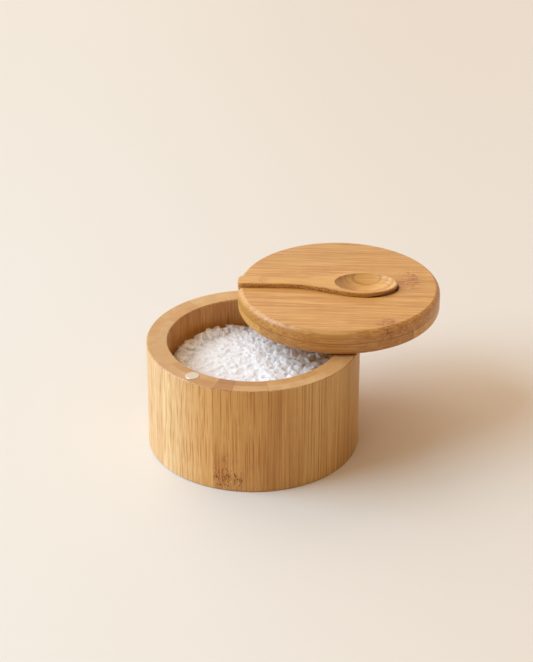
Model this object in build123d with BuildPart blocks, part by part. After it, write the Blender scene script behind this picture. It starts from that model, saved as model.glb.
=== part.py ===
from build123d import *
from math import cos, degrees, pi, radians, sin
import os

# A round bamboo salt box. Twelve staves are glued into a ring round a floor disc and turned round. The
# two-ply lid swivels sideways on one upright steel pin in the rim, held shut by a pair of magnets, and a
# small spoon lies in a nest milled into the lid's top.
#
# Sizes are in millimetres and angles in degrees, anticlockwise from above. The origin is the centre of the
# box's underside, +Z is up and the hinge pin stands on +Y. The lid is modelled swung open.

# Box
box_radius = 45.0
wall_thickness = 8.9
box_height = 47.8
box_edge_break = 0.4
seam_angles = (8.4, 39.4, 71.4, 103.4, 128.4, 153.9, 184.2, 211.7, 247.1, 276.7, 310.3, 339.4)

# Floor disc, glued into a rebate cut into the staves' feet
floor_thickness = 7.0
floor_rebate = 2.0
glue_gap = 0.05

# Salt, with its coarsest crystals standing out of the heap, spread like the seeds of a sunflower
salt_below_rim = 13.6
salt_mound = 4.0
salt_wall_gap = 0.1
crystal_size = 4.2
crystal_spacing = 5.8
crystal_proud = 1.2
crystal_turn = 137.5
crystal_tilts = (14, 38, 22, 30, 45)
crystal_leans = (8, 26, 16)

# Lid, a little smaller than the box
lid_setback = 1.5
lid_gap = 0.6
ply_thickness = 5.4
lid_top_round = 3.0
lid_top_round_width = 1.8
lid_bottom_round = 2.5
lid_open_angle = 69.6

# Boards that the lid's plies are cut from, glued up from strips and each set a little off centre
strip_count = 4
board_allowance = 4.6
top_board_shift = -6.5
bottom_board_shift = -6.1

# Hinge: a headed pin, glued into the rim, with its head trapped between the lid's plies
pin_inset = 5.0
pin_radius = 1.5
pin_depth = 18.0
pin_head_radius = 2.2
pin_head_thickness = 1.2
pin_edge_break = 0.3
running_fit = 0.05
head_play = 0.1
washer_radius = 3.0
washer_thickness = 0.5

# Magnets: the catch in the rim and its partner in the lid's underside
catch_angle = 230.6
catch_inset = 4.8
catch_radius = 2.9
catch_thickness = 3.0
catch_proud = 0.2
catch_edge_break = 0.15
lid_magnet_inset = 6.2
lid_magnet_radius = 2.0
lid_magnet_thickness = 2.0

# Spoon, and the nest in the lid that it lies in
spoon_length = 68.7
spoon_thickness = 5.7
spoon_proud = 2.0
spoon_edge_round = 0.5
spoon_foot_round = 1.5
nest_angle = 15.2
nest_offset = -0.85
nest_side_gap = 0.65
nest_floor_gap = 0.3
heel_width = 7.3
heel_corner = 2.5
heel_round = 3.2
neck_width = 6.1
neck_from_tip = 46.0
shoulder_width = 12.4
shoulder_from_tip = 30.5
bowl_width = 19.5
bowl_widest_from_tip = 14.2
bowl_side_height = 2.3
tip_height = 1.3
keel_rise_from_tip = 17.0
hollow_length = 26.0
hollow_width = 17.7
hollow_depth = 3.6
hollow_from_tip = 1.1

# What follows from these
inner_radius = box_radius - wall_thickness
floor_radius = inner_radius + floor_rebate
lid_radius = box_radius - lid_setback
board_width = 2 * lid_radius + board_allowance
strip_width = board_width / strip_count
lid_bottom = box_height + lid_gap
ply_seam = lid_bottom + ply_thickness
lid_top = ply_seam + ply_thickness
spoon_top = lid_top + spoon_proud
spoon_bottom = spoon_top - spoon_thickness
nest_floor = spoon_bottom - nest_floor_gap
tip_x = spoon_length - lid_radius
pin_reach = box_radius - pin_inset
pin_top = ply_seam - head_play
pin_point = (0, pin_reach)
catch_reach = box_radius - catch_inset
catch_point = (catch_reach * cos(radians(catch_angle)), catch_reach * sin(radians(catch_angle)))

# The lid's own frame lies in its centre, with X along the nest from the spoon's heel to its tip. Shut, the
# lid's centre is the box's, and it has swung about the pin from there.
lid_centre_x = pin_reach * sin(radians(lid_open_angle))
lid_centre_y = pin_reach * (1 - cos(radians(lid_open_angle)))
lid_heading_shut = nest_angle - 90
lid_heading = lid_heading_shut + lid_open_angle
lid_x_axis = Vector(cos(radians(lid_heading)), sin(radians(lid_heading)), 0)
lid_frame = Plane(origin=(lid_centre_x, lid_centre_y, 0), x_dir=lid_x_axis, z_dir=(0, 0, 1))

# The nest's frame is the lid's, moved sideways to the spoon's axis, and its section stands upright there.
nest_origin = lid_frame.origin + lid_frame.y_dir * nest_offset
nest_frame = Plane(origin=nest_origin, x_dir=lid_x_axis, z_dir=(0, 0, 1))
nest_section = Plane(origin=nest_origin, x_dir=lid_x_axis, z_dir=-lid_frame.y_dir)
nest_axis = Axis(nest_origin, lid_x_axis)
lid_section = Plane(origin=lid_frame.origin, x_dir=lid_x_axis, z_dir=-lid_frame.y_dir)


def on_lid(reach, angle):
    """A point of the lid's frame, by its distance from the lid's centre and its angle."""
    return (reach * cos(radians(angle)), reach * sin(radians(angle)))


pin_on_lid = on_lid(pin_reach, 180 - nest_angle)
magnet_on_lid = on_lid(box_radius - lid_magnet_inset, catch_angle - lid_heading_shut)


def keep(piece, name):
    """Label a finished piece and write its STEP file."""
    piece.part.label = name
    export_step(piece.part, f"parts/{name}.step")


def radial_plane(angle):
    """The upright plane through the box's axis at this angle, with X outwards and Y up."""
    outwards = (cos(radians(angle)), sin(radians(angle)), 0)
    return Plane(origin=(0, 0, 0), x_dir=outwards, z_dir=(outwards[1], -outwards[0], 0))


def spoon_outline(plane, gap=0.0):
    """The spoon's plan, or with a gap that of its nest, which so runs out through the lid's edge."""
    heel_x = -lid_radius - gap
    neck = (tip_x - neck_from_tip, neck_width / 2 + gap)
    shoulder = (tip_x - shoulder_from_tip, shoulder_width / 2 + gap)
    widest = (tip_x - bowl_widest_from_tip, bowl_width / 2 + gap)
    with BuildSketch(plane) as plan:
        with BuildLine():
            Line((heel_x, 0), (heel_x, heel_width / 2 + gap))
            Line((heel_x, heel_width / 2 + gap), neck)
            Spline(neck, shoulder, widest, tangents=[(1, 0), (1, 0)])
            EllipticalCenterArc(
                (widest[0], 0), bowl_widest_from_tip + gap, widest[1], start_angle=0, arc_size=90
            )
            mirror(about=Plane.XZ)
        make_face()
    return plan.sketch


os.makedirs("parts", exist_ok=True)

# The wall's section: X outwards, Y up, with the floor's rebate at its foot
with BuildSketch() as wall_section:
    with BuildLine():
        Polyline(
            (inner_radius, floor_thickness),
            (floor_radius, floor_thickness),
            (floor_radius, 0),
            (box_radius, 0),
            (box_radius, box_height),
            (inner_radius, box_height),
            close=True,
        )
    make_face()
    chamfer(wall_section.vertices().group_by(Axis.X)[-1], length=box_edge_break)
    chamfer(wall_section.vertices().group_by(Axis.Y)[-1].sort_by(Axis.X)[0], length=box_edge_break)

# Staves
seam_pairs = zip(seam_angles, seam_angles[1:] + (seam_angles[0] + 360,))
for number, (start, end) in enumerate(seam_pairs, 1):
    with BuildPart() as stave:
        with BuildSketch(radial_plane(start)):
            add(wall_section.sketch)
        revolve(axis=Axis.Z, revolution_arc=end - start)
        with Locations((*pin_point, box_height)):
            Hole(radius=pin_radius + glue_gap, depth=pin_depth)
        with Locations((*catch_point, box_height)):
            Hole(radius=catch_radius + glue_gap, depth=catch_thickness - catch_proud)
    keep(stave, f"stave_{number:02d}")

# Floor disc
with BuildPart() as base_floor:
    with BuildSketch():
        Circle(floor_radius - glue_gap)
    extrude(amount=floor_thickness)
keep(base_floor, "base_floor")

# Salt, heaped a little in the middle. Each coarse crystal is a tilted cube, sunk until only its highest
# corner stands proud of the heap.
salt_radius = inner_radius - salt_wall_gap
salt_edge = box_height - salt_below_rim
spiral_radius = salt_radius - crystal_size
crystal_count = round(2 * pi / 3**0.5 * (spiral_radius / crystal_spacing) ** 2)
crystal_places = []
for number in range(crystal_count):
    share = (number + 0.5) / crystal_count
    reach = spiral_radius * share**0.5
    turn = number * crystal_turn
    heap = salt_edge + salt_mound * (1 - (reach / salt_radius) ** 2)
    tilt = radians(crystal_tilts[number % len(crystal_tilts)])
    lean = radians(crystal_leans[number % len(crystal_leans)])
    corner_height = crystal_size / 2 * (sin(tilt) + cos(tilt) * (sin(lean) + cos(lean)))
    middle = (reach * cos(radians(turn)), reach * sin(radians(turn)), heap + crystal_proud - corner_height)
    upright = Location(middle, (0, 0, turn))
    crystal_places.append(upright * Location((0, 0, 0), (degrees(tilt), degrees(lean), 0)))

with BuildPart() as salt_fill:
    with BuildSketch(Plane.XZ):
        with BuildLine():
            Line((0, floor_thickness), (salt_radius, floor_thickness))
            Line((salt_radius, floor_thickness), (salt_radius, salt_edge))
            TangentArc((0, salt_edge + salt_mound), (salt_radius, salt_edge), tangent=(1, 0))
            Line((0, salt_edge + salt_mound), (0, floor_thickness))
        make_face()
    revolve(axis=Axis.Z)
    with Locations(*crystal_places):
        Box(crystal_size, crystal_size, crystal_size)
keep(salt_fill, "salt_fill")

# Catch magnet, let into the rim and standing a little proud of it
with BuildPart() as catch_magnet:
    with BuildSketch(Plane.XY.offset(box_height + catch_proud)):
        with Locations(catch_point):
            Circle(catch_radius)
    extrude(amount=-catch_thickness)
    chamfer(catch_magnet.edges().group_by(Axis.Z)[-1], length=catch_edge_break)
keep(catch_magnet, "catch_magnet")

# Hinge pin
with BuildPart() as hinge_pin:
    with BuildSketch(Plane.XY.offset(box_height - pin_depth)):
        with Locations(pin_point):
            Circle(pin_radius)
    extrude(amount=pin_top - box_height + pin_depth)
    with BuildSketch(Plane.XY.offset(pin_top)):
        with Locations(pin_point):
            Circle(pin_head_radius)
    extrude(amount=-pin_head_thickness)
    chamfer(hinge_pin.edges().group_by(Axis.Z)[0], length=pin_edge_break)
    chamfer(hinge_pin.edges().group_by(Axis.Z)[-1], length=pin_edge_break)
keep(hinge_pin, "hinge_pin")

# Hinge washer, lying on the rim
with BuildPart() as hinge_washer:
    with BuildSketch(Plane.XY.offset(box_height)):
        with Locations(pin_point):
            Circle(washer_radius)
            Circle(pin_radius + running_fit, mode=Mode.SUBTRACT)
    extrude(amount=washer_thickness)
keep(hinge_washer, "hinge_washer")

# The lid's top ply, turned with a round that meets the top at a slight crease, and with the spoon's nest
# milled in, open at the lid's edge
round_height = (lid_top_round**2 - (lid_top_round - lid_top_round_width) ** 2) ** 0.5
with BuildPart() as top_ply:
    with BuildSketch(lid_section):
        with BuildLine():
            Line((0, lid_top), (0, ply_seam))
            Line((0, ply_seam), (lid_radius, ply_seam))
            Line((lid_radius, ply_seam), (lid_radius, lid_top - round_height))
            RadiusArc(
                (lid_radius, lid_top - round_height),
                (lid_radius - lid_top_round_width, lid_top),
                -lid_top_round,
            )
            Line((lid_radius - lid_top_round_width, lid_top), (0, lid_top))
        make_face()
    revolve(axis=Axis(lid_frame.origin, (0, 0, 1)))
    add(spoon_outline(nest_frame.offset(nest_floor), gap=nest_side_gap))
    extrude(amount=spoon_thickness, mode=Mode.SUBTRACT)

# The lid's bottom ply, with the pin's hole and the pocket for its head, and the magnet's hole
with BuildPart() as bottom_ply:
    with BuildSketch(lid_frame.offset(lid_bottom)):
        Circle(lid_radius)
    extrude(amount=ply_thickness)
    fillet(bottom_ply.edges().group_by(Axis.Z)[0], radius=lid_bottom_round)
    with Locations(lid_frame.offset(ply_seam)):
        with Locations(pin_on_lid):
            CounterBoreHole(
                radius=pin_radius + running_fit,
                counter_bore_radius=pin_head_radius + head_play,
                counter_bore_depth=pin_head_thickness + 2 * head_play,
            )
    with BuildSketch(lid_frame.offset(lid_bottom)):
        with Locations(magnet_on_lid):
            Circle(lid_magnet_radius + glue_gap)
    extrude(amount=lid_magnet_thickness, mode=Mode.SUBTRACT)

# Each ply's strips. The outer two reach to the lid's edge.
for ply, side, board_shift in (
    (top_ply, "top", top_board_shift),
    (bottom_ply, "bottom", bottom_board_shift),
):
    seams = [board_shift - board_width / 2 + strip * strip_width for strip in range(1, strip_count)]
    edges = [-board_width, *seams, board_width]
    for number, (low, high) in enumerate(zip(edges, edges[1:]), 1):
        with BuildPart() as strip:
            add(ply.part)
            with BuildSketch(lid_frame):
                with Locations((0, (low + high) / 2)):
                    Rectangle(2 * board_width, high - low)
            extrude(amount=2 * lid_top, mode=Mode.INTERSECT)
        keep(strip, f"lid_{side}_strip_{number}")

# Lid magnet, flush with the lid's underside and over the catch magnet when the lid is shut
with BuildPart() as lid_magnet:
    with BuildSketch(lid_frame.offset(lid_bottom)):
        with Locations(magnet_on_lid):
            Circle(lid_magnet_radius)
    extrude(amount=lid_magnet_thickness)
keep(lid_magnet, "lid_magnet")

# The spoon. Its plan is cut through the blank, its underside is turned about an axis above it, which rounds
# the bowl and lifts the keel towards the tip and the heel, and an ellipsoid scoops the hollow.
underside_drop = spoon_thickness - bowl_side_height
underside_radius = ((bowl_width / 2) ** 2 + underside_drop**2) / (2 * underside_drop)
turning_height = spoon_bottom + underside_radius
scoop_lift = hollow_depth
scoop_height = scoop_lift + hollow_depth
scoop_spread = 1 / (1 - (scoop_lift / scoop_height) ** 2) ** 0.5
scoop = scale(
    Sphere(1, mode=Mode.PRIVATE),
    by=(hollow_length / 2 * scoop_spread, hollow_width / 2 * scoop_spread, scoop_height),
)
hollow_centre_x = tip_x - hollow_from_tip - hollow_length / 2
scoop_place = nest_frame.offset(spoon_top + scoop_lift).location * Pos(hollow_centre_x, 0, 0)

with BuildPart() as spoon:
    add(spoon_outline(nest_frame.offset(spoon_bottom)))
    extrude(amount=spoon_thickness)
    fillet(spoon.edges().filter_by(Axis.Z).group_by(nest_axis)[0], radius=heel_corner)
    fillet(spoon.edges().group_by(Axis.Z)[-1], radius=spoon_edge_round)
    fillet(spoon.edges().group_by(Axis.Z)[0], radius=spoon_foot_round)
    with BuildSketch(nest_section):
        heel = (-lid_radius, spoon_bottom + heel_round)
        keel_start = (-lid_radius + heel_round, spoon_bottom)
        keel_end = (tip_x - keel_rise_from_tip, spoon_bottom)
        tip = (tip_x, spoon_top - tip_height)
        with BuildLine():
            TangentArc(keel_start, heel, tangent=(-1, 0))
            Line(keel_start, keel_end)
            TangentArc(keel_end, tip, tangent=(1, 0))
            Polyline(tip, (tip_x, turning_height), (-lid_radius, turning_height), heel)
        make_face()
    revolve(axis=Axis(nest_frame.offset(turning_height).origin, lid_x_axis), mode=Mode.INTERSECT)
    add(scoop_place * scoop, mode=Mode.SUBTRACT)
keep(spoon, "spoon")
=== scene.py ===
"""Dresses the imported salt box: its bamboo, salt, magnets and steel, on a pale floor in soft light."""

import math
import random
from typing import NamedTuple

import bmesh
import bpy
import numpy as np
from mathutils import Matrix, Vector


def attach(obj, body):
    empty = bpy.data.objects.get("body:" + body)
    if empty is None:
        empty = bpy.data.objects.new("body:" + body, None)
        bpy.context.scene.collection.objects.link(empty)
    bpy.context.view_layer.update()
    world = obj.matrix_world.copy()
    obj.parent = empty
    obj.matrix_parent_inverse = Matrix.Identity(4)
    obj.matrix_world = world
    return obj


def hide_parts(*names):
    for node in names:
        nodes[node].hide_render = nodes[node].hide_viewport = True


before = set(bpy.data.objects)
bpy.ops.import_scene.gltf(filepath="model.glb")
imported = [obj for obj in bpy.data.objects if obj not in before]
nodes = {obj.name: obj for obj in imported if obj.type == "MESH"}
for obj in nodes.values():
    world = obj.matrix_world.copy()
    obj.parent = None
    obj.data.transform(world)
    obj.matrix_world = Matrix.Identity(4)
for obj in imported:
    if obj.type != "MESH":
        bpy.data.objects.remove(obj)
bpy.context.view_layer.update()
MM = 0.001

# ---------------------------------------------------------------- camera
# where it stands, how far it looks down and how far it is turned, in degrees, and its focal length
CAMERA_PLACE = Vector((-15.708, -743.255, 452.1)) * MM
CAMERA_PITCH = 28.328
CAMERA_HEADING = -1.64
CAMERA_LENS = 109.34


def place_camera():
    lens = bpy.data.cameras.new("camera")
    lens.lens = CAMERA_LENS
    lens.clip_start = 0.05
    camera = bpy.data.objects.new("camera", lens)
    camera.location = CAMERA_PLACE
    camera.rotation_euler = (math.radians(90 - CAMERA_PITCH), 0, math.radians(CAMERA_HEADING))
    bpy.context.collection.objects.link(camera)
    bpy.context.scene.camera = camera


# ---------------------------------------------------------------- node graphs
# the way that a pattern is shifted, so that each piece shows another part of it
SHIFT = (1.0, 0.37, -0.61)


class Graph:
    """A material's or world's node graph, built by short calls: sockets or values go in, sockets out."""

    def __init__(self, owner):
        owner.use_nodes = True
        self.owner = owner
        self.tree = owner.node_tree
        self.shader = self.tree.nodes.get("Principled BSDF")

    def put(self, socket, value):
        if isinstance(value, bpy.types.NodeSocket):
            self.tree.links.new(value, socket)
        else:
            socket.default_value = value

    def node(self, kind, settings=None, **inputs):
        node = self.tree.nodes.new(kind)
        for key, value in (settings or {}).items():
            setattr(node, key, value)
        for key, value in inputs.items():
            self.put(node.inputs[key], value)
        return node

    def math(self, operation, *values, clamp=False):
        node = self.node("ShaderNodeMath", {"operation": operation, "use_clamp": clamp})
        for socket, value in zip(node.inputs, values):
            self.put(socket, value)
        return node.outputs[0]

    def vector_math(self, operation, *values):
        node = self.node("ShaderNodeVectorMath", {"operation": operation})
        for socket, value in zip(node.inputs, values):
            self.put(socket, value)
        return node.outputs["Value" if operation in ("DOT_PRODUCT", "LENGTH") else "Vector"]

    def mix(self, factor, first, second, blend="MIX"):
        node = self.node("ShaderNodeMix", {"data_type": "RGBA", "blend_type": blend})
        self.put(node.inputs["Factor"], factor)
        self.put(node.inputs[6], first)
        self.put(node.inputs[7], second)
        return node.outputs[2]

    def tinted(self, colour, tint, strength):
        """The colour multiplied by a tint, as strongly as said."""
        return self.mix(strength, colour, (*tint, 1), "MULTIPLY")

    def smooth(self, value, low, high, to_low=0.0, to_high=1.0):
        """The value eased from low..high to to_low..to_high."""
        node = self.node("ShaderNodeMapRange", {"interpolation_type": "SMOOTHSTEP"})
        for socket, entry in zip(node.inputs, (value, low, high, to_low, to_high)):
            self.put(socket, entry)
        return node.outputs[0]

    def scaled(self, vector, sizes, shift=0.0):
        """The vector measured in pattern sizes along X, Y and Z, and shifted to another part of it."""
        node = self.node("ShaderNodeMapping", Vector=vector)
        node.inputs["Scale"].default_value = [1 / size for size in sizes]
        node.inputs["Location"].default_value = [way * shift for way in SHIFT]
        return node.outputs[0]

    def noise(self, vector, detail=1.0, output="Fac"):
        node = self.node("ShaderNodeTexNoise", Vector=vector, Scale=1.0, Detail=detail)
        return node.outputs[output]

    def sway(self, vector, sizes, shift, detail=1.0):
        """A smooth random vector, each part of it from -0.5 to 0.5."""
        whole = self.noise(self.scaled(vector, sizes, shift), detail, "Color")
        return self.vector_math("SUBTRACT", whole, (0.5, 0.5, 0.5))

    def swayed(self, vector, sway, reach):
        return self.vector_math("ADD", vector, self.vector_math("MULTIPLY", sway, reach))

    def cells(self, vector):
        """Voronoi cells: the distance to the cell's middle, and a number of its own from 0 to 1."""
        node = self.node("ShaderNodeTexVoronoi", Vector=vector, Scale=1.0)
        own = self.node("ShaderNodeSeparateColor", Color=node.outputs["Color"]).outputs[0]
        return node.outputs["Distance"], own

    def strokes(self, vector, edge, chosen, faintest=0.0):
        """One stroke in each cell, full in its middle and gone past its edge, and as strong as chosen."""
        distance, own = self.cells(vector)
        return self.math("MULTIPLY", self.smooth(distance, *edge), self.smooth(own, *chosen, faintest, 1.0))

    def ramp(self, value, *stops):
        node = self.node("ShaderNodeValToRGB", Fac=value)
        elements = node.color_ramp.elements
        while len(elements) < len(stops):
            elements.new(0.5)
        for element, (place, colour) in zip(elements, stops):
            element.position = place
            element.color = (*colour, 1)
        return node.outputs["Color"]

    def bump(self, height, distance, strength=1.0):
        node = self.node("ShaderNodeBump", Height=height, Distance=distance, Strength=strength)
        return node.outputs[0]


def srgb(red, green, blue):
    """A colour as it shows, 0 to 255, as the linear one that a shader takes."""
    return tuple(
        c / 12.92 if c <= 0.04045 else ((c + 0.055) / 1.055) ** 2.4
        for c in (v / 255 for v in (red, green, blue))
    )


# ---------------------------------------------------------------- bamboo
LIGHT = srgb(230, 176, 100)
BODY = srgb(215, 157, 81)
DARK = srgb(198, 137, 64)
# the cane's roughness where it is dark and where it is light, and its oiled finish
DARK_ROUGHNESS = 0.50
LIGHT_ROUGHNESS = 0.40
COAT = 0.3
COAT_ROUGHNESS = 0.30
# what a fibre bundle and the glue leave of the light
BUNDLE = (0.75, 0.52, 0.29)
GLUE = (0.45, 0.33, 0.24)
# the part of a glue line's half width where it shows in full
GLUE_CORE = 0.3

# the length, width and depth in mm of the fibres' bends, the broad bands, the strands and the single fibres
BEND = (30, 7, 7)
BAND = (90, 5, 5)
STRAND = (7, 0.42, 0.42)
FIBRE = (9, 0.16, 0.16)
# how far the bands, the lines and the fibres move the tone, which is 0 where dark and 1 where light, and
# what is left of the last two on end grain
BAND_TONE = 1.4
LINE_TONE = 1.5
FIBRE_TONE = 0.5
END_TONE = 0.5
# the height of a bundle against that of the lines and fibres, and of the whole grain
BUNDLE_RELIEF = -0.8
GRAIN_RELIEF = 0.04 * MM
# how squarely a face cuts the fibres, 0 to 1: where a slanting cut, and the end grain, begins and is full
SLANT = (0.12, 0.35)
END_GRAIN = (0.75, 0.97)


class Figure(NamedTuple):
    """How a kind of cane is figured."""

    bundle: tuple  # the length, width and depth in mm of a fibre bundle
    bundles: float  # how strongly the bundles show,
    strands: float  # the strands between them,
    lines: float  # the fine lines,
    bands: float  # and the broad bands
    wander: float  # how far the fibres go aside, in mm
    line: tuple = (60, 0.48, 0.48)  # the length, width and depth in mm of a fine line


FLAMED = Figure(bundle=(16, 0.6, 0.6), bundles=1.0, strands=0.45, lines=0.7, bands=0.5, wander=0.35)
STRAIGHT = Figure(bundle=(80, 0.5, 0.5), bundles=0.9, strands=0.3, lines=1.2, bands=0.7, wander=0.2)
MIXED = Figure(bundle=(26, 0.55, 0.55), bundles=1.0, strands=0.4, lines=0.9, bands=0.5, wander=0.3)
FLOOR_CANE = Figure(bundle=(20, 1.0, 0.6), bundles=0.5, strands=0.4, lines=1.15, bands=0.45, wander=0.7)
LID_CANE = FLOOR_CANE._replace(line=(42, 1.3, 0.6))
SPOON_CANE = Figure(
    bundle=(14, 1.0, 0.5), bundles=0.35, strands=0.2, lines=0.5, bands=0.5, wander=0.5, line=(60, 3.0, 0.4)
)


class Strokes(NamedTuple):
    """How one kind of fibre stroke is drawn, in cells."""

    edge: tuple  # the distances from the cell's middle where the stroke begins and where it is full
    chosen: tuple  # the cell's own numbers that give the faintest and the strongest stroke
    faintest: float
    on_end: float  # how strongly the strokes show on end grain
    aslant: float  # how much more strongly they show where they are cut aslant


BUNDLES = Strokes(edge=(0.62, 0.22), chosen=(0.1, 0.8), faintest=0.2, on_end=0.15, aslant=0.2)
STRANDS = Strokes(edge=(0.55, 0.2), chosen=(0.2, 0.7), faintest=0.0, on_end=0.12, aslant=0.45)


class Mark(NamedTuple):
    """A node of the cane, in the frame of its piece's grain."""

    centre: tuple
    size: tuple  # half its length, width and depth, in mm
    length: float  # a stroke's length and width, in mm
    width: float
    strokes: float = 0.75  # how strongly the strokes show
    pores: float = 0.3  # the share of the places for a pore that have one
    reach: float = 2.0  # how many times its own length its strokes run out along the fibres


# what a mark's surroundings, its burnt strokes, its pores and its pale flecks leave of the light, and how
# strongly the flecks show
HALO = (0.94, 0.91, 0.88)
SCORCH = (0.55, 0.37, 0.20)
PORE = (0.16, 0.07, 0.02)
FLECK = (1.25, 1.3, 1.35)
FLECK_STRENGTH = 0.7
# where a mark, and where what runs out of it, begins and is full, in its own half sizes
MARK_EDGE = (1.2, 0.8)
RUNOUT_EDGE = (1.2, 0.5)
# how much longer the strokes are where they run out, and a shift that gives them other places
RUNOUT_STRETCH = 3.0
RUNOUT_SHIFT = 40.0
# the size in mm of the wobble that bends a mark, and how far it bends the outline and the strokes
WOBBLE = (3.0, 1.7, 1.7)
OUTLINE_WOBBLE = (4.0, 3.0, 3.0)
STROKE_WOBBLE = (0.0, 2.4, 2.4)
# where a mark's stroke begins and is full in its cell, and which cells have a burnt one or a pale one
MARK_STROKE = (0.62, 0.25)
BURNT_CELLS = (0.45, 0.62)
PALE_CELLS = (0.28, 0.2)
# the size in mm of a pore's cell, and the pore's edge in it
PORE_CELL = (1.7, 1.7, 1.7)
PORE_EDGE = (0.27, 0.17)
PORE_FADE = 0.04


def grain_frame(origin, along, across):
    """The frame of a piece's grain, X along the fibres, Y across, Z through, and its origin in metres."""
    along = Vector(along).normalized()
    across = (Vector(across) - along * along.dot(Vector(across))).normalized()
    return Matrix((along, across, along.cross(across))), Vector(origin)


def toned(factor, warmth=1.0):
    """The three bamboo tones, lighter or darker, and warmer or cooler."""
    return tuple(
        (c[0] * factor, c[1] * factor / warmth**0.5, c[2] * factor / warmth) for c in (LIGHT, BODY, DARK)
    )


def draw_strokes(g, vector, colour, end_grain, slant, shown, look):
    """The colour with fibre strokes, tapered along a side, dots on a cut end and darkest cut aslant."""
    strokes = g.strokes(vector, look.edge, look.chosen, look.faintest)
    showing = g.smooth(end_grain, 0, 1, shown, look.on_end)
    showing = g.math("MULTIPLY_ADD", slant, look.aslant, showing)
    return g.tinted(colour, BUNDLE, g.math("MULTIPLY", strokes, showing, clamp=True)), strokes


def cane(g, point, facing, tones, figure, seed):
    """The cane's colour, tone and height of grain, at a point in the frame of its grain, in mm."""
    end_grain = g.smooth(facing, *END_GRAIN)
    slant = g.math("MULTIPLY", g.smooth(facing, *SLANT), g.smooth(facing, *reversed(END_GRAIN)))

    # the fibres wander a little from the straight
    aside = 2 * figure.wander
    point = g.swayed(point, g.sway(point, BEND, seed), (0.0, aside, aside))

    bands = g.noise(g.scaled(point, BAND, seed))
    lines = g.noise(g.scaled(point, figure.line, -seed))
    fibres = g.noise(g.scaled(point, FIBRE, seed))
    tone = g.math("MULTIPLY_ADD", g.math("SUBTRACT", bands, 0.5), BAND_TONE * figure.bands, 0.5)
    fine = g.math("MULTIPLY", g.math("SUBTRACT", lines, 0.5), LINE_TONE * figure.lines)
    fine = g.math("MULTIPLY_ADD", g.math("SUBTRACT", fibres, 0.5), FIBRE_TONE, fine)
    tone = g.math("MULTIPLY_ADD", fine, g.smooth(end_grain, 0, 1, 1.0, END_TONE), tone)
    light, body, dark = tones
    colour = g.ramp(tone, (0.0, dark), (0.5, body), (1.0, light))

    places = g.scaled(point, figure.bundle, seed)
    colour, bundles = draw_strokes(g, places, colour, end_grain, slant, figure.bundles, BUNDLES)
    places = g.scaled(point, STRAND, -seed)
    colour, _ = draw_strokes(g, places, colour, end_grain, slant, figure.strands, STRANDS)
    return colour, tone, g.math("MULTIPLY_ADD", bundles, BUNDLE_RELIEF, g.math("ADD", fibres, lines))


def node_mark(g, point, colour, seed, mark):
    """The colour with a mark's wavering strokes, pale flecks and pores, and where the pores are."""
    wobble = g.sway(point, WOBBLE, seed, detail=2.0)
    away = g.swayed(g.vector_math("SUBTRACT", point, mark.centre), wobble, OUTLINE_WOBBLE)
    inside = g.vector_math("LENGTH", g.vector_math("DIVIDE", away, mark.size))
    inside = g.smooth(inside, *MARK_EDGE)
    runout = (mark.reach * mark.size[0], mark.size[1], mark.size[2])
    runout = g.vector_math("LENGTH", g.vector_math("DIVIDE", away, runout))
    runout = g.smooth(runout, *RUNOUT_EDGE)
    colour = g.tinted(colour, HALO, runout)

    bent = g.swayed(point, wobble, STROKE_WOBBLE)
    for place, stretch, shift in ((inside, 1.0, 0.0), (runout, RUNOUT_STRETCH, RUNOUT_SHIFT)):
        size = (stretch * mark.length, mark.width, mark.width)
        distance, own = g.cells(g.scaled(bent, size, seed + shift))
        stroke = g.math("MULTIPLY", g.smooth(distance, *MARK_STROKE), place)
        burnt = g.math("MULTIPLY", stroke, g.smooth(own, *BURNT_CELLS))
        colour = g.tinted(colour, SCORCH, g.math("MULTIPLY", burnt, mark.strokes))
        pale = g.math("MULTIPLY", stroke, g.smooth(own, *PALE_CELLS))
        colour = g.tinted(colour, FLECK, g.math("MULTIPLY", pale, FLECK_STRENGTH * mark.strokes))

    chosen = (1 - mark.pores, 1 + PORE_FADE - mark.pores)
    pores = g.strokes(g.scaled(point, PORE_CELL, seed), PORE_EDGE, chosen)
    pores = g.math("MULTIPLY", pores, inside)
    return g.tinted(colour, PORE, pores), pores


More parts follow.
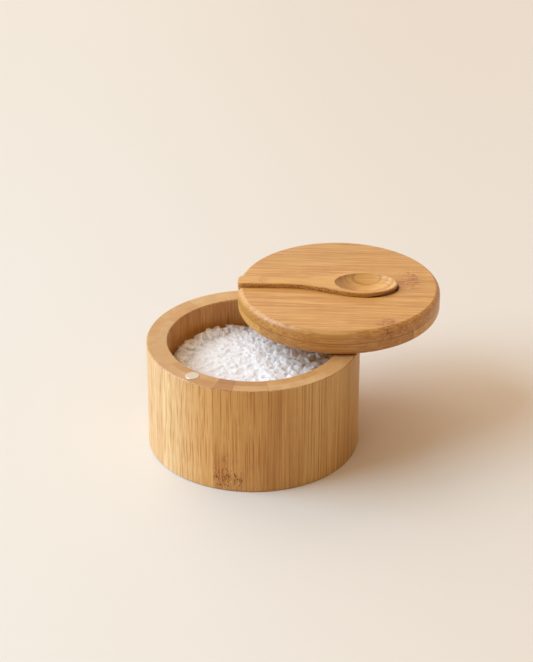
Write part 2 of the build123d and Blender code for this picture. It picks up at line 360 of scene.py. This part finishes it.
def bamboo(name, grain, tones, figure, seed, paint=None, seams=(), marks=()):
    """Bamboo with its fibres along the grain: streaks on a long face, dots on a cut end."""
    g = Graph(bpy.data.materials.new(name))
    turn, origin = grain
    coords = g.node("ShaderNodeTexCoord")
    mapping = g.node("ShaderNodeMapping", Vector=coords.outputs["Object"])
    mapping.inputs["Scale"].default_value = (1 / MM,) * 3
    mapping.inputs["Rotation"].default_value = turn.to_euler()
    mapping.inputs["Location"].default_value = -(turn @ (origin / MM))
    point = mapping.outputs[0]
    facing = g.math("ABSOLUTE", g.vector_math("DOT_PRODUCT", coords.outputs["Normal"], tuple(turn[0])))
    colour, tone, height = cane(g, point, facing, tones, figure, seed)

    if paint is not None:
        level = g.math("ABSOLUTE", g.vector_math("DOT_PRODUCT", coords.outputs["Normal"], (0, 0, 1)))
        colour = paint(g, point, level, colour)
    for normal, half_width, shown in seams:
        off = g.math("ABSOLUTE", g.vector_math("DOT_PRODUCT", point, normal))
        colour = g.tinted(colour, GLUE, g.smooth(off, half_width, GLUE_CORE * half_width, 0.0, shown))
    matt = 0.0
    for mark in marks:
        colour, pores = node_mark(g, point, colour, seed, mark)
        matt = g.math("ADD", matt, pores, clamp=True)

    g.put(g.shader.inputs["Base Color"], colour)
    g.put(g.shader.inputs["Roughness"], g.smooth(tone, 0.2, 0.8, DARK_ROUGHNESS, LIGHT_ROUGHNESS))
    g.shader.inputs["Specular IOR Level"].default_value = 0.4
    g.put(g.shader.inputs["Coat Weight"], g.math("MULTIPLY_ADD", matt, -COAT, COAT))
    g.shader.inputs["Coat Roughness"].default_value = COAT_ROUGHNESS
    grain_bump = g.bump(height, GRAIN_RELIEF, 0.6)
    g.put(g.shader.inputs["Normal"], grain_bump)
    g.put(g.shader.inputs["Coat Normal"], grain_bump)
    return g.owner


def dress(name, material):
    mesh = nodes[name].data
    mesh.materials.clear()
    mesh.materials.append(material)


# ---------------------------------------------------------------- the box
BOX_RADIUS = 45.0
# each stave: the angle where it starts, its figure, and the tone of its outer side at its start and end
# the pale, bluish tones of the left staves, 153.9 to 247.1 degrees, are a painted sheen of the light from
# the left
STAVES = (
    (8.4, STRAIGHT, (0.95, 0.98, 1.0), (0.97, 0.98, 1.0)),
    (39.4, STRAIGHT, (1.0, 0.98, 0.95), (0.96, 0.96, 1.0)),
    (71.4, FLAMED, (1.02, 1.02, 1.02), (0.98, 0.98, 0.95)),
    (103.4, FLAMED, (1.0, 1.03, 1.1), (1.04, 1.08, 1.15)),
    (128.4, FLAMED, (0.98, 0.98, 1.0), (1.02, 1.05, 1.15)),
    (153.9, FLAMED, (1.05, 1.08, 1.2), (1.10, 1.23, 1.7)),
    (184.2, FLAMED, (1.11, 1.40, 2.4), (1.14, 1.40, 2.6)),
    (211.7, FLAMED, (1.22, 1.60, 3.1), (1.04, 1.07, 1.25)),
    (247.1, MIXED, (0.96, 0.96, 0.99), (0.92, 0.92, 0.89)),
    (276.7, STRAIGHT, (0.86, 0.85, 0.75), (0.97, 1.14, 1.38)),
    (310.3, STRAIGHT, (0.97, 1.12, 1.32), (0.76, 0.79, 0.79)),
    (339.4, STRAIGHT, (0.93, 0.97, 0.87), (0.98, 0.96, 0.76)),
)
# each stave is glued up from thinner pieces of cane, which show in the rim: the angle where a pair of them
# starts, the distance from the box's axis where the outer one takes over, and the tones of the two
RIM = (
    (8.4, 41.0, (0.77, 0.77, 0.92), (0.77, 0.77, 0.92)),
    (39.4, 40.5, (0.80, 0.82, 0.97), (0.77, 0.77, 0.89)),
    (71.4, 40.0, (0.78, 0.80, 0.95), (0.80, 0.84, 1.03)),
    (103.4, 40.5, (0.78, 0.86, 1.09), (0.80, 0.93, 1.36)),
    (128.4, 40.8, (0.72, 0.71, 0.77), (0.74, 0.77, 0.95)),
    (153.9, 40.2, (0.74, 0.83, 1.17), (0.73, 0.75, 0.88)),
    (184.2, 40.5, (0.73, 0.78, 1.01), (0.72, 0.75, 0.98)),
    (211.7, 40.3, (0.64, 0.61, 0.58), (0.75, 0.80, 1.07)),
    (231.0, 40.3, (0.71, 0.72, 0.87), (0.66, 0.61, 0.58)),
    (247.1, 40.3, (0.50, 0.39, 0.29), (0.58, 0.47, 0.39)),
    (257.8, 40.3, (0.60, 0.51, 0.45), (0.73, 0.78, 1.03)),
    (276.7, 40.3, (0.70, 0.70, 0.73), (0.76, 0.87, 1.34)),
    (310.3, 40.3, (0.75, 0.79, 1.15), (0.75, 0.82, 1.26)),
    (339.4, 40.5, (0.74, 0.75, 0.90), (0.75, 0.77, 0.94)),
)
INNER_SIDE = (0.91, 0.92, 0.95)
# the distances from the axis between which the inner side's tone gives way to the outer side's
WALL_MIDDLE = (39, 40)
# how level a face is, 0 to 1, where the rim gives way to the sides
RIM_TO_SIDE = (0.8, 0.5)
# half the width of the change between two pieces of cane in the rim, in mm and in radians
PAIR_BLEND = 0.1
TURN_BLEND = 0.002
# the glue lines between the staves: half their width in mm, and how strongly they show
STAVE_SEAM = (0.16, 0.4)
# the node low on the front stave
FOOT_NODE_ANGLE = 254.5
FOOT_NODE_HEIGHT = 4.6
FOOT_NODE_SIZE = (3.4, 6.0, 7.5)
FOOT_NODE_LOOK = {"length": 3.6, "width": 0.62, "strokes": 0.95, "pores": 0.6, "reach": 4.0}


def stave_painter(start, end, near, far):
    """Gives a stave its tones: the inner and outer side, and the pieces of cane that show in the rim."""
    middle = math.radians((start + end) / 2)
    half = math.radians((end - start) / 2)
    pieces = [row for row in RIM if start <= row[0] < end]

    def paint(g, point, level, colour):
        _, out, across = g.node("ShaderNodeSeparateXYZ", Vector=point).outputs
        angle = g.math("ARCTAN2", across, out)
        radius = g.vector_math("LENGTH", g.vector_math("MULTIPLY", point, (0, 1, 1)))
        # the outer side's tone eases from the stave's start to its end; on the left staves it is a painted
        # sheen
        side = g.mix(g.smooth(angle, -half, half), (*near, 1), (*far, 1))
        side = g.mix(g.smooth(radius, *WALL_MIDDLE), (*INNER_SIDE, 1), side)
        rim = None
        for first, change, inner, outer in pieces:
            outwards = g.smooth(radius, change - PAIR_BLEND, change + PAIR_BLEND)
            pair = g.mix(outwards, (*inner, 1), (*outer, 1))
            turned = math.radians(first) - middle
            if rim is None:
                rim = pair
            else:
                rim = g.mix(g.smooth(angle, turned - TURN_BLEND, turned + TURN_BLEND), rim, pair)
        return g.mix(1.0, colour, g.mix(g.smooth(level, *RIM_TO_SIDE), rim, side), "MULTIPLY")

    return paint


def dress_base():
    for index, (start, figure, near, far) in enumerate(STAVES):
        end = STAVES[(index + 1) % len(STAVES)][0]
        end += 360 if end < start else 0
        middle = math.radians((start + end) / 2)
        grain = grain_frame((0, 0, 0), (0, 0, 1), (math.cos(middle), math.sin(middle), 0))
        seams = []
        for seam in (start, end):
            turned = math.radians(seam) - middle
            seams.append(((0, -math.sin(turned), math.cos(turned)), *STAVE_SEAM))
        marks = []
        if start < FOOT_NODE_ANGLE < end:
            turned = math.radians(FOOT_NODE_ANGLE) - middle
            centre = (FOOT_NODE_HEIGHT, BOX_RADIUS * math.cos(turned), BOX_RADIUS * math.sin(turned))
            marks.append(Mark(centre, FOOT_NODE_SIZE, **FOOT_NODE_LOOK))
        name = f"stave_{index + 1:02d}"
        seed = 7.3 * index + 1.7
        painter = stave_painter(start, end, near, far)
        dress(name, bamboo(f"{name}_bamboo", grain, toned(1.0), figure, seed, painter, seams, marks))
    grain = grain_frame((0, 0, 0), (1, 0, 0), (0, 1, 0))
    dress("base_floor", bamboo("floor_bamboo", grain, toned(0.98), FLOOR_CANE, seed=91.0))


# ---------------------------------------------------------------- lid and spoon
LID_HEADING = math.radians(-5.2)
LID_ALONG = (math.cos(LID_HEADING), math.sin(LID_HEADING), 0)
LID_ACROSS = (-math.sin(LID_HEADING), math.cos(LID_HEADING), 0)
# the lid's middle, where its plies meet
LID_CENTRE = Vector((37.49, 26.06, 53.8)) * MM
# how light and how warm each strip of the two plies is, the tone of their sides, and a seed for each ply
LID_TONES = {
    "top": ((0.825, 1.08), (0.835, 1.08), (0.815, 1.08), (0.78, 1.06)),
    "bottom": ((0.86, 1.10), (1.14, 0.93), (1.08, 0.93), (1.06, 1.0)),
}
LID_SIDE = {"top": (0.97, 0.95, 0.90), "bottom": (0.88, 0.87, 0.87)}
LID_SEED = {"top": 5.0, "bottom": 60.0}
# the glue line between the plies: half its width in mm, and how strongly it shows
PLY_SEAM = (0.3, 0.6)
# the nodes of the cane in the lid's top, by strip
LID_NODES = {
    "lid_top_strip_3": Mark(centre=(30.6, 6.0, 5.0), size=(3.4, 10.5, 6), length=2.4, width=1, pores=0.2),
    "lid_top_strip_1": Mark(centre=(21.5, -34.0, 5.0), size=(2.8, 6, 6), length=2.0, width=0.8, pores=0.1),
}
# how level a face is, 0 to 1, where the top gives way to the side
TOP_TO_SIDE = (0.8, 0.4)
# how light and how warm the spoon is, and the tone of its side
SPOON_TONE = (0.91, 0.94)
SPOON_SIDE = (1.0, 0.92, 0.86)
# the spoon's fibres rise a little towards its tip
SPOON_GRAIN_RISE = 0.03
SPOON_NODE = Mark(centre=(-32.5, -0.3, 7.4), size=(1.6, 4, 3), length=1.0, width=0.6, strokes=0.5)
# the layers of the spoon's cane: their size in mm, how far they are turned about its length, their tint,
# where a line begins and is full in the noise, and how level a face is, 0 to 1, where the layers begin to
# show and show in full
LAYER = (60, 14, 0.45)
LAYER_TURN = math.radians(-35)
LAYER_TINT = (0.78, 0.67, 0.53)
LAYER_LINES = (0.46, 0.58)
LAYER_SHOWING = (0.998, 0.98)
# painted shade: the tint of what leans towards the bowl's tip, away from the light from the left, such as
# the hollow's left wall, and how far it leans where that begins and is full
HOLLOW_SHADE_TINT = (0.87, 0.94, 1.12)
LEAN = (0.04, 0.35)
# the fibre ends along the spoon's side: the size in mm of the place for each, and their tint
DOT = (1.3, 1.0, 0.7)
DOT_TINT = (0.55, 0.42, 0.30)


def side_painter(tone):
    """Gives an upright side its own tone."""

    def paint(g, point, level, colour):
        return g.tinted(colour, tone, g.smooth(level, *TOP_TO_SIDE))

    return paint


def spoon_painter(g, point, level, colour):
    """The cane's layers show as lines where the hollow cuts them, its fibre ends as dots on the side."""
    turned = g.node("ShaderNodeVectorRotate", {"rotation_type": "X_AXIS"}, Vector=point, Angle=LAYER_TURN)
    layers = g.smooth(g.noise(g.scaled(turned.outputs[0], LAYER)), *LAYER_LINES)
    layers = g.math("MULTIPLY", layers, g.smooth(level, *LAYER_SHOWING))
    colour = g.tinted(colour, LAYER_TINT, layers)
    normal = g.node("ShaderNodeTexCoord").outputs["Normal"]
    lean = g.vector_math("DOT_PRODUCT", normal, LID_ALONG)
    # painted shade where a face leans towards the tip, away from the light
    colour = g.tinted(colour, HOLLOW_SHADE_TINT, g.smooth(lean, *LEAN))
    side = g.smooth(level, *TOP_TO_SIDE)
    dots = g.strokes(g.scaled(point, DOT), edge=(0.5, 0.2), chosen=(0.4, 0.6))
    colour = g.tinted(colour, DOT_TINT, g.math("MULTIPLY", dots, side))
    return g.tinted(colour, SPOON_SIDE, side)


def dress_lid():
    grain = grain_frame(LID_CENTRE, LID_ALONG, LID_ACROSS)
    seams = [((0, 0, 1), *PLY_SEAM)]
    for side, strips in LID_TONES.items():
        for number, tone in enumerate(strips, 1):
            name = f"lid_{side}_strip_{number}"
            seed = 13.1 * number + LID_SEED[side]
            marks = [LID_NODES[name]] if name in LID_NODES else []
            painter = side_painter(LID_SIDE[side])
            tones = toned(*tone)
            dress(name, bamboo(f"{name}_bamboo", grain, tones, LID_CANE, seed, painter, seams, marks))


def dress_spoon():
    along = Vector(LID_ALONG) + Vector((0, 0, SPOON_GRAIN_RISE))
    grain = grain_frame(LID_CENTRE, along, LID_ACROSS)
    tones = toned(*SPOON_TONE)
    marks = [SPOON_NODE]
    dress("spoon", bamboo("spoon_bamboo", grain, tones, SPOON_CANE, 33.0, spoon_painter, marks=marks))


# ---------------------------------------------------------------- metal and nylon
# the length, width and depth of the nickel's scratches, and the size of the nylon's grain
SCRATCH = (2.5 * MM, 0.15 * MM, 2.5 * MM)
NYLON_GRAIN = (0.4 * MM,) * 3


def dress_metal():
    g = Graph(bpy.data.materials.new("nickel"))
    coords = g.node("ShaderNodeTexCoord").outputs["Object"]
    scratches = g.noise(g.scaled(coords, SCRATCH), detail=3.0)
    colour = g.ramp(scratches, (0.3, srgb(187, 175, 157)), (0.7, srgb(199, 188, 172)))
    g.put(g.shader.inputs["Base Color"], colour)
    g.put(g.shader.inputs["Roughness"], g.smooth(scratches, 0.3, 0.7, 0.38, 0.50))
    g.shader.inputs["Metallic"].default_value = 1.0
    for name in ("catch_magnet", "lid_magnet", "hinge_pin"):
        dress(name, g.owner)


def dress_nylon():
    g = Graph(bpy.data.materials.new("nylon"))
    coords = g.node("ShaderNodeTexCoord").outputs["Object"]
    grain = g.noise(g.scaled(coords, NYLON_GRAIN), detail=2.0)
    colour = g.ramp(grain, (0.3, srgb(226, 220, 206)), (0.7, srgb(238, 234, 222)))
    g.put(g.shader.inputs["Base Color"], colour)
    g.shader.inputs["Roughness"].default_value = 0.5
    g.put(g.shader.inputs["Normal"], g.bump(grain, 0.02 * MM))
    dress("hinge_washer", g.owner)


# ---------------------------------------------------------------- salt
SALT_SEED = 11
# how far the crystals reach from the axis, how high they stand at most, the heap's height at the wall, and
# how much higher it is in the middle, all in mm
SALT_RADIUS = 36.0
SALT_LIMIT = 39.5
SALT_EDGE = 34.2
SALT_MOUND = 4.0
# the voxel that the heap is melted with, and the height below which it is a plain drum, in mm
SALT_VOXEL = 0.26
SALT_PLAIN = 31.0
# where the heap is smoothed: left of an X and nearer the axis than a reach, each with the width over which
# the smoothing fades in, all in mm, and how many times and how much it is smoothed
SETTLED_X = 6
SETTLED_X_FADE = 10
SETTLED_REACH = 32
SETTLED_REACH_FADE = 4
SETTLED_TIMES = 4
SETTLED_AMOUNT = 0.6
# how many kinds of crystal are made, how many corners a kind may have, how far out each corner is, and how
# much one of its coordinates is shortened
CRYSTAL_KINDS = 16
CORNERS = (8, 9, 10, 12)
CORNER_REACH = (0.45, 1.0)
CORNER_SHORTENED = (0.2, 1.0)
# how far a crystal reaches from its middle, in half sizes, and a full turn
CRYSTAL_REACH = 1.15
FULL_TURN = 6.283
# each lot of crystals: how many, half their size in mm, from and to, how far their middles stand above the
# heap, the ring and the angles that they lie in, and how far they are stretched each way
CRYSTALS = (
    (550, (0.6, 1.1), (-0.3, 0.1), (0, 31), (95, 285), ((0.9, 1.2), (0.8, 1.1), (0.6, 0.9))),
    (450, (1.2, 2.0), (-1.1, -0.5), (0, 32), (95, 285), ((0.9, 1.2), (0.8, 1.1), (0.6, 0.9))),
    (800, (0.7, 1.3), (-0.1, 0.35), (0, 26), (-75, 95), ((0.8, 1.2), (0.8, 1.1), (0.6, 0.9))),
    (330, (1.2, 2.0), (-0.8, -0.1), (0, 36), (-80, 100), ((0.9, 1.2), (0.8, 1.0), (0.6, 0.8))),
    (260, (1.7, 2.8), (0.0, 1.2), (10, 36), (-80, 60), ((0.9, 1.3), (0.6, 0.9), (0.5, 0.8))),
    (250, (0.9, 1.6), (0.2, 1.2), (29, 36), (95, 285), ((0.8, 1.2), (0.8, 1.1), (0.6, 0.9))),
    (110, (1.3, 2.2), (0.5, 1.6), (28, 36), (110, 240), ((0.8, 1.2), (0.7, 1.0), (0.6, 0.9))),
    (30, (1.9, 2.9), (0.8, 2.0), (30, 33.5), (105, 190), ((0.8, 1.1), (0.8, 1.0), (0.7, 1.0))),
)
# the salt is coloured warmer and lighter towards the lid, a painted warm light bounced from the lid's
# bamboo, while the fine salt on the left stays whiter: the two tones of each, the way to the lid, and the
# places on it between which the one turns into the other
FINE_SALT = (srgb(223, 223, 226), srgb(228, 228, 231))
BOUNCE_LIT_SALT = (srgb(236, 228, 221), srgb(242, 234, 227))
TO_LID = (0.82, 0.57, 0)
FINE_END = -6 * MM
BOUNCE_FULL = 24 * MM
# the size of the faint clouds in its tone and gloss
SALT_CLOUD = (1.1 * MM,) * 3


def salt_material():
    g = Graph(bpy.data.materials.new("salt"))
    coords = g.node("ShaderNodeTexCoord").outputs["Object"]
    cloud = g.noise(g.scaled(coords, SALT_CLOUD), detail=3.0)
    fine, clear = (g.ramp(cloud, (0.3, low), (0.7, high)) for low, high in (FINE_SALT, BOUNCE_LIT_SALT))
    # painted warm bounce light: towards the lid the fine salt's tones give way to the warmer, lighter ones
    by_lid = g.smooth(g.vector_math("DOT_PRODUCT", coords, TO_LID), FINE_END, BOUNCE_FULL)
    g.put(g.shader.inputs["Base Color"], g.mix(by_lid, fine, clear))
    g.put(g.shader.inputs["Roughness"], g.smooth(cloud, 0.3, 0.7, 0.5, 0.75))
    g.shader.inputs["IOR"].default_value = 1.54
    g.shader.inputs["Specular IOR Level"].default_value = 0.2
    # light spreads inside the heap
    g.shader.inputs["Subsurface Weight"].default_value = 1.0
    g.shader.inputs["Subsurface Radius"].default_value = (1.0, 1.0, 1.0)
    g.shader.inputs["Subsurface Scale"].default_value = 6.0 * MM
    g.put(g.shader.inputs["Normal"], g.bump(cloud, 0.03 * MM, 0.5))
    return g.owner


def crystal_kinds(rng):
    """Some angular crystals of unit size, each a convex hull of random corners: (points, faces)."""
    kinds = []
    for _ in range(CRYSTAL_KINDS):
        bm = bmesh.new()
        for _ in range(rng.choice(CORNERS)):
            corner = Vector([rng.choice((-1, 1)) * rng.uniform(*CORNER_REACH) for _ in range(3)])
            corner[rng.randrange(3)] *= rng.uniform(*CORNER_SHORTENED)
            bm.verts.new(corner)
        hull = bmesh.ops.convex_hull(bm, input=bm.verts)
        loose = [v for v in hull["geom_interior"] if isinstance(v, bmesh.types.BMVert)]
        bmesh.ops.delete(bm, geom=loose, context="VERTS")
        bm.verts.index_update()
        points = np.array([v.co[:] for v in bm.verts])
        kinds.append((points, [[v.index for v in f.verts] for f in bm.faces]))
        bm.free()
    return kinds


def pile(bed):
    """The bed of salt with the crystals laid on it: all points, in mm, and all faces."""
    rng = random.Random(SALT_SEED)
    kinds = crystal_kinds(rng)
    points = [np.array([v.co[:] for v in bed.vertices]) / MM]
    faces = [p.vertices[:] for p in bed.polygons]
    count = len(bed.vertices)
    for number, sizes, lifts, (nearest, furthest), angles, stretches in CRYSTALS:
        for _ in range(number):
            size = rng.uniform(*sizes)
            outermost = min(furthest, SALT_RADIUS - CRYSTAL_REACH * size)
            reach = math.sqrt(rng.uniform(nearest**2, outermost**2))
            angle = math.radians(rng.uniform(*angles))
            shape, sides = rng.choice(kinds)
            stretch = [rng.uniform(*span) for span in stretches]
            spin = Matrix.Rotation(rng.uniform(0, FULL_TURN), 3, "Z")
            turn = spin @ Matrix.Rotation(rng.uniform(0, FULL_TURN), 3, "X")
            placed = (shape * np.array(stretch) * size) @ np.array(turn.transposed())
            heap = SALT_EDGE + SALT_MOUND * (1 - (reach / SALT_RADIUS) ** 2)
            placed += (reach * math.cos(angle), reach * math.sin(angle), heap + rng.uniform(*lifts))
            # none reaches into the wall, or above the heap's highest crystals
            away = np.hypot(placed[:, 0], placed[:, 1])
            placed[:, :2] *= np.minimum(1.0, SALT_RADIUS / np.maximum(away, 1.0))[:, None]
            placed[:, 2] -= max(0.0, placed[:, 2].max() - SALT_LIMIT)
            points.append(placed)
            faces.extend([i + count for i in side] for side in sides)
            count += len(shape)
    return np.concatenate(points), faces


def settle(mesh):
    """Smooths the heap where the photo shows it fine and even: left of its middle, off the wall."""
    flat = np.empty(3 * len(mesh.vertices))
    mesh.vertices.foreach_get("co", flat)
    places = flat.reshape(-1, 3)
    ends = np.empty(2 * len(mesh.edges), dtype=int)
    mesh.edges.foreach_get("vertices", ends)
    ends = np.concatenate((ends.reshape(-1, 2), ends.reshape(-1, 2)[:, ::-1]))
    near = np.bincount(ends[:, 0], minlength=len(places))
    reach = np.hypot(places[:, 0], places[:, 1]) / MM
    amount = np.clip((SETTLED_X - places[:, 0] / MM) / SETTLED_X_FADE, 0, 1)
    amount = amount * np.clip((SETTLED_REACH - reach) / SETTLED_REACH_FADE, 0, 1)
    for _ in range(SETTLED_TIMES):
        around = [np.bincount(ends[:, 0], places[ends[:, 1], axis], len(places)) for axis in range(3)]
        around = np.stack(around, axis=1) / near[:, None]
        places += SETTLED_AMOUNT * amount[:, None] * (around - places)
    mesh.vertices.foreach_set("co", places.ravel())
    mesh.update()


def stand_plain(mesh, bottom):
    """Makes the heap's hidden lower part a plain drum, which needs few faces."""
    bm = bmesh.new()
    bm.from_mesh(mesh)
    whole = bm.verts[:] + bm.edges[:] + bm.faces[:]
    plane = {"plane_co": (0, 0, SALT_PLAIN * MM), "plane_no": (0, 0, 1)}
    rim = bmesh.ops.bisect_plane(bm, geom=whole, clear_inner=True, **plane)["geom_cut"]
    below = {}
    for vert in (part for part in rim if isinstance(part, bmesh.types.BMVert)):
        below[vert] = bm.verts.new((*vert.co.xy, bottom * MM))
    foot = []
    for start, end in (part.verts for part in rim if isinstance(part, bmesh.types.BMEdge)):
        wall = bm.faces.new((start, end, below[end], below[start]))
        wall.smooth = True
        foot.append(bm.edges.get((below[start], below[end])))
    bmesh.ops.edgeloop_fill(bm, edges=foot)
    bmesh.ops.recalc_face_normals(bm, faces=bm.faces[:])
    bm.to_mesh(mesh)
    bm.free()


def build_salt():
    points, faces = pile(nodes["salt_fill"].data)
    mesh = bpy.data.meshes.new("salt_loose")
    mesh.from_pydata((points * MM).tolist(), [], faces)
    piece = bpy.data.objects.new("salt_crystals", mesh)
    bpy.context.collection.objects.link(piece)

    # the bed and its crystals are melted into one skin
    skin = piece.modifiers.new("skin", "REMESH")
    skin.mode = "VOXEL"
    skin.voxel_size = SALT_VOXEL * MM
    skin.use_smooth_shade = True
    bpy.context.view_layer.update()
    whole = bpy.data.meshes.new_from_object(piece.evaluated_get(bpy.context.evaluated_depsgraph_get()))
    settle(whole)
    stand_plain(whole, points[:, 2].min())
    piece.modifiers.clear()
    piece.data = whole
    bpy.data.meshes.remove(mesh)
    whole.materials.clear()
    whole.materials.append(salt_material())
    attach(piece, "base")
    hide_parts("salt_fill")


# ---------------------------------------------------------------- floor and light
# half the floor's width, in metres
FLOOR_HALF = 5.0
# painted light: the paper is coloured a little lighter on the side that the light comes from
PAPER_LEFT = srgb(226, 222, 215)
PAPER_RIGHT = srgb(219, 210, 200)
PAPER_HALF_WIDTH = 0.15
# and a little darker further back, from where to where, in metres
PAPER_BEHIND = (0.98, 0.95, 0.92)
PAPER_DEPTH = (0.05, 0.6)
# its fine grain
PAPER_GRAIN = (1.1 * MM,) * 3
PAPER_FLECK = (0.985, 0.985, 0.985)

# the lamps: the way that each one comes from and its height, how broad it is, its colour and its strength
KEY_HEADING = 183.0
KEY_ELEVATION = 33.0
KEY_SPREAD = 48.0
KEY_COLOUR = (0.557, 0.790, 1.0)
KEY_ENERGY = 3.66
FILL_HEADING = 125.0
FILL_ELEVATION = 30.0
FILL_SPREAD = 60.0
FILL_COLOUR = (1.0, 0.92, 0.84)
FILL_ENERGY = 1.25
AMBIENT = (0.975, 0.718, 0.47)
BACKGROUND = srgb(240, 230, 217)


def build_floor():
    mesh = bpy.data.meshes.new("floor")
    corners = [(x * FLOOR_HALF, y * FLOOR_HALF, 0) for x, y in ((-1, -1), (1, -1), (1, 1), (-1, 1))]
    mesh.from_pydata(corners, [], [(0, 1, 2, 3)])
    floor = bpy.data.objects.new("floor", mesh)
    bpy.context.collection.objects.link(floor)
    g = Graph(bpy.data.materials.new("floor"))
    coords = g.node("ShaderNodeTexCoord").outputs["Object"]
    aside, behind, _ = g.node("ShaderNodeSeparateXYZ", Vector=coords).outputs
    aside = g.smooth(aside, -PAPER_HALF_WIDTH, PAPER_HALF_WIDTH)
    colour = g.mix(aside, (*PAPER_LEFT, 1), (*PAPER_RIGHT, 1))
    colour = g.tinted(colour, PAPER_BEHIND, g.smooth(behind, *PAPER_DEPTH))
    paper = g.noise(g.scaled(coords, PAPER_GRAIN), detail=4.0)
    colour = g.tinted(colour, PAPER_FLECK, paper)
    g.put(g.shader.inputs["Base Color"], colour)
    g.shader.inputs["Roughness"].default_value = 0.9
    g.shader.inputs["Specular IOR Level"].default_value = 0.1
    g.put(g.shader.inputs["Normal"], g.bump(paper, 0.1 * MM, 0.3))
    mesh.materials.append(g.owner)


def place_lamp(name, heading, elevation, spread, colour, energy):
    light = bpy.data.lights.new(name, "SUN")
    light.energy = energy
    light.color = colour
    light.angle = math.radians(spread)
    lamp = bpy.data.objects.new(name, light)
    turn = math.radians(heading)
    rise = math.radians(elevation)
    towards = Vector((math.cos(turn) * math.cos(rise), math.sin(turn) * math.cos(rise), math.sin(rise)))
    lamp.rotation_euler = towards.to_track_quat("Z", "Y").to_euler()
    bpy.context.collection.objects.link(lamp)


def build_world():
    """The world lights from above, and shows as the pale background."""
    world = bpy.data.worlds.new("world")
    bpy.context.scene.world = world
    g = Graph(world)
    direction = g.node("ShaderNodeTexCoord").outputs["Generated"]
    rise = g.node("ShaderNodeSeparateXYZ", Vector=direction).outputs["Z"]
    overhead = g.node("ShaderNodeMapRange", Value=rise).outputs[0]
    ambient = g.node("ShaderNodeBackground", Color=(*AMBIENT, 1), Strength=overhead).outputs[0]
    background = g.node("ShaderNodeBackground", Color=(*BACKGROUND, 1)).outputs[0]
    rays = g.node("ShaderNodeLightPath").outputs
    shown = g.math("MAXIMUM", rays["Is Camera Ray"], rays["Is Glossy Ray"])
    shown = g.math("MAXIMUM", shown, rays["Is Transmission Ray"])
    mix = g.node("ShaderNodeMixShader", Fac=shown)
    g.put(mix.inputs[1], ambient)
    g.put(mix.inputs[2], background)
    g.put(g.tree.nodes["World Output"].inputs["Surface"], mix.outputs[0])


bpy.context.scene.view_settings.view_transform = "Standard"
place_camera()
build_floor()
place_lamp("key", KEY_HEADING, KEY_ELEVATION, KEY_SPREAD, KEY_COLOUR, KEY_ENERGY)
place_lamp("fill", FILL_HEADING, FILL_ELEVATION, FILL_SPREAD, FILL_COLOUR, FILL_ENERGY)
build_world()
dress_base()
dress_lid()
dress_spoon()
dress_metal()
dress_nylon()
build_salt()
